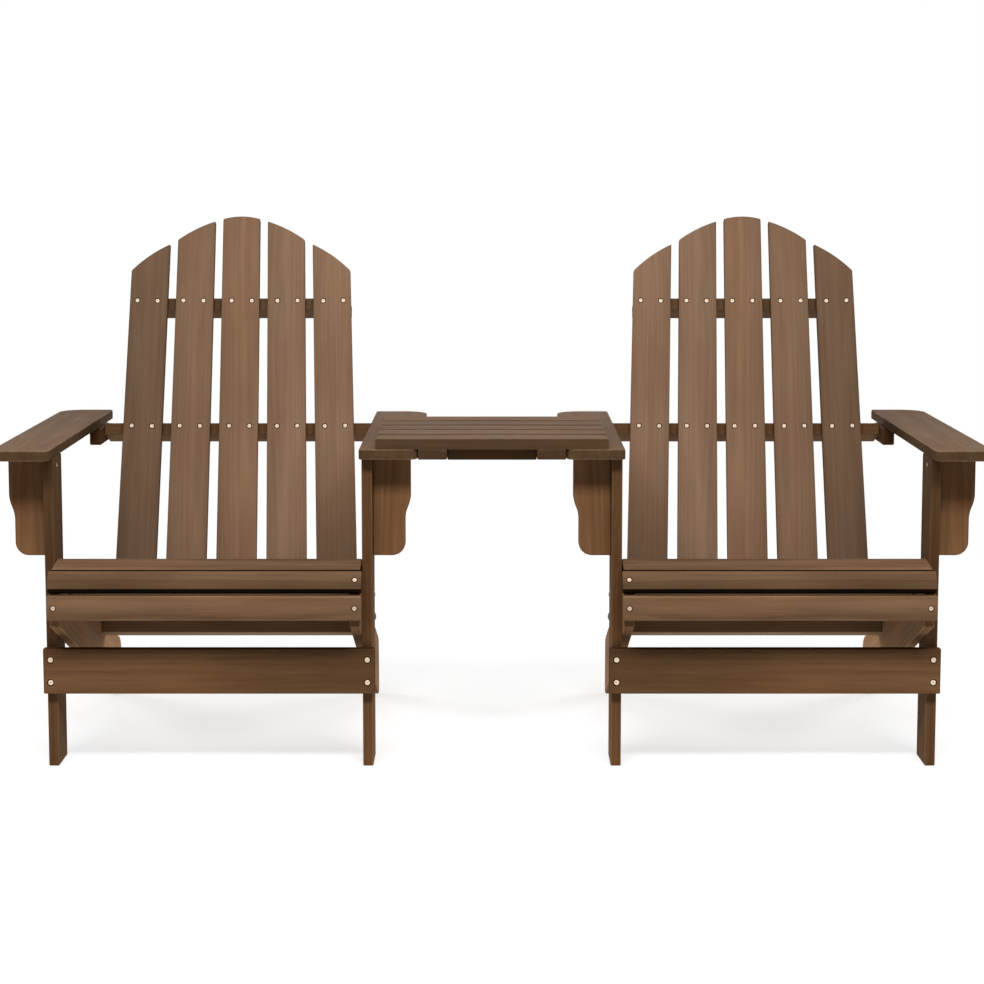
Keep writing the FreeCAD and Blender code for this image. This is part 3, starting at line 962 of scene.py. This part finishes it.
def drive_table_screws():
    """Screws from below through the table's battens and the inner arms into every table slat."""
    for number in range(table_slat_count):
        slat = plates["table_slat_" + str(number + 1)]
        for side in sides:
            batten = plates[side + "_table_batten"]
            arm = plates[side + "_inner_arm"]
            outer = math.copysign(1, arm.centre.x)
            arm_edge = arm.centre.x - outer * arm.width / 2
            slat_end = outer * slat.length / 2
            drive_screw("table_screws", batten, Vector((batten.centre.x, slat.centre.y, 0)), downward)
            drive_screw("table_screws", arm, Vector(((arm_edge + slat_end) / 2, slat.centre.y, 0)), downward)


# Screws with painted light or shade: lit and shaded copies of the zinc, by group without the side
screw_light_copies = {
    "apron_screws": "bright_steel",
    "back_screws": "dull_steel",
    "seat_front_screws": "dull_steel",
}


def make_screws(group, places, head):
    """Join a copy of the head at every place into one piece."""
    work = bmesh.new()
    for place in places:
        copy = head.copy()
        copy.transform(place)
        work.from_mesh(copy)
        bpy.data.meshes.remove(copy)
    mesh = bpy.data.meshes.new(group)
    work.to_mesh(mesh)
    work.free()
    mesh.materials.append(materials[screw_light_copies.get(partner(group), "fastener_steel")])
    screws = new_object(group, mesh)
    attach(screws, "root")


plates = find_plates()
for side in sides:
    drive_chair_screws(side)
drive_table_screws()
for plate in plates.values():
    make_board(plate)
head = screw_head()
for group, places in screw_places.items():
    make_screws(group, places, head)
bpy.data.meshes.remove(head)
for node in ("frame_bolts", "frame_nuts"):
    for holder in frame["nodes"][node].material_slots:
        holder.material = materials["bolt_steel"]


# Stage, camera and light


def aim(lamp, target):
    """Turn the lamp so that it shines at the target."""
    direction = target - lamp.location
    lamp.rotation_euler = direction.to_track_quat("-Z", "Y").to_euler()


def make_floor():
    """A pale floor that keeps the object's shadow and fades to white away from it."""
    mesh = bpy.data.meshes.new("floor")
    corners = [(x * floor_reach, y * floor_reach, 0) for x, y in ((-1, -1), (1, -1), (1, 1), (-1, 1))]
    mesh.from_pydata(corners, [], [(0, 1, 2, 3)])
    floor = new_object("floor", mesh)
    floor.location.z = cad_low.z
    material, tree, shader = new_material("floor")
    shader.inputs["Base Color"].default_value = (*floor_colour, 1)
    shader.inputs["Roughness"].default_value = floor_roughness
    shader.inputs["Specular IOR Level"].default_value = 0.0
    seen = direct_rays(tree)
    link(tree, span(tree, seen, 0.0, 1.0, floor_bounce, floor_glow), shader.inputs["Emission Strength"])
    shader.inputs["Emission Color"].default_value = (1, 1, 1, 1)
    glow = tree.nodes.new("ShaderNodeEmission")
    distance = tree.nodes.new("ShaderNodeVectorMath")
    distance.operation = "LENGTH"
    link(tree, tree.nodes.new("ShaderNodeTexCoord").outputs["Object"], distance.inputs[0])
    far = span(tree, distance.outputs["Value"], *floor_fade)
    mix = tree.nodes.new("ShaderNodeMixShader")
    link(tree, math_node(tree, "MULTIPLY", seen, far), mix.inputs[0])
    link(tree, shader.outputs[0], mix.inputs[1])
    link(tree, glow.outputs[0], mix.inputs[2])
    link(tree, mix.outputs[0], tree.nodes["Material Output"].inputs["Surface"])
    mesh.materials.append(material)


def direct_rays(tree):
    """1 for rays from the camera and for those mirrored or passed through, 0 for the rest."""
    path = tree.nodes.new("ShaderNodeLightPath")
    both = math_node(tree, "MAXIMUM", path.outputs["Is Camera Ray"], path.outputs["Is Glossy Ray"])
    return math_node(tree, "MAXIMUM", both, path.outputs["Is Transmission Ray"])


def make_world():
    """White to the camera and in mirrored rays, else dark: only lamps and floor light the object."""
    world = bpy.data.worlds.new("studio")
    bpy.context.scene.world = world
    world.use_nodes = True
    tree = world.node_tree
    background = tree.nodes["Background"]
    background.inputs["Color"].default_value = (1, 1, 1, 1)
    link(tree, direct_rays(tree), background.inputs["Strength"])


def hang_light(name, elevation, turn, size, power):
    """A lamp turned from straight in front, at the usual distance from the object's middle."""
    light = bpy.data.lights.new(name, "AREA")
    light.shape = "RECTANGLE"
    light.size, light.size_y = size
    light.energy = power
    middle = (cad_low + cad_high) / 2
    raised = Matrix.Rotation(math.radians(-elevation), 3, "X") @ Vector((0, -lamp_distance, 0))
    lamp = new_object(name, light)
    lamp.location = middle + Matrix.Rotation(math.radians(turn), 3, "Z") @ raised
    aim(lamp, middle)


def make_camera():
    """The camera at the photograph's place, at a distance from the legs' front faces."""
    camera = bpy.data.cameras.new("camera")
    camera.sensor_width = sensor_width
    camera.lens = sensor_width * focal_pixels / image_size
    place = new_object("camera", camera)
    leg = plates["left_outer_leg"]
    legs_front = leg.centre.y - leg.width / 2
    place.location = (0, legs_front - camera_distance, camera_height)
    place.rotation_euler = (math.radians(90 - camera_pitch), 0, 0)
    bpy.context.scene.camera = place


make_floor()
make_world()
hang_light("key", key_elevation, key_turn, key_size, key_power)
hang_light("back", back_elevation, back_turn, back_size, back_power)
for turn in (-side_turn, side_turn):
    hang_light("side", side_elevation, turn, side_size, side_power)
make_camera()

bpy.context.scene.view_settings.view_transform = "Standard"
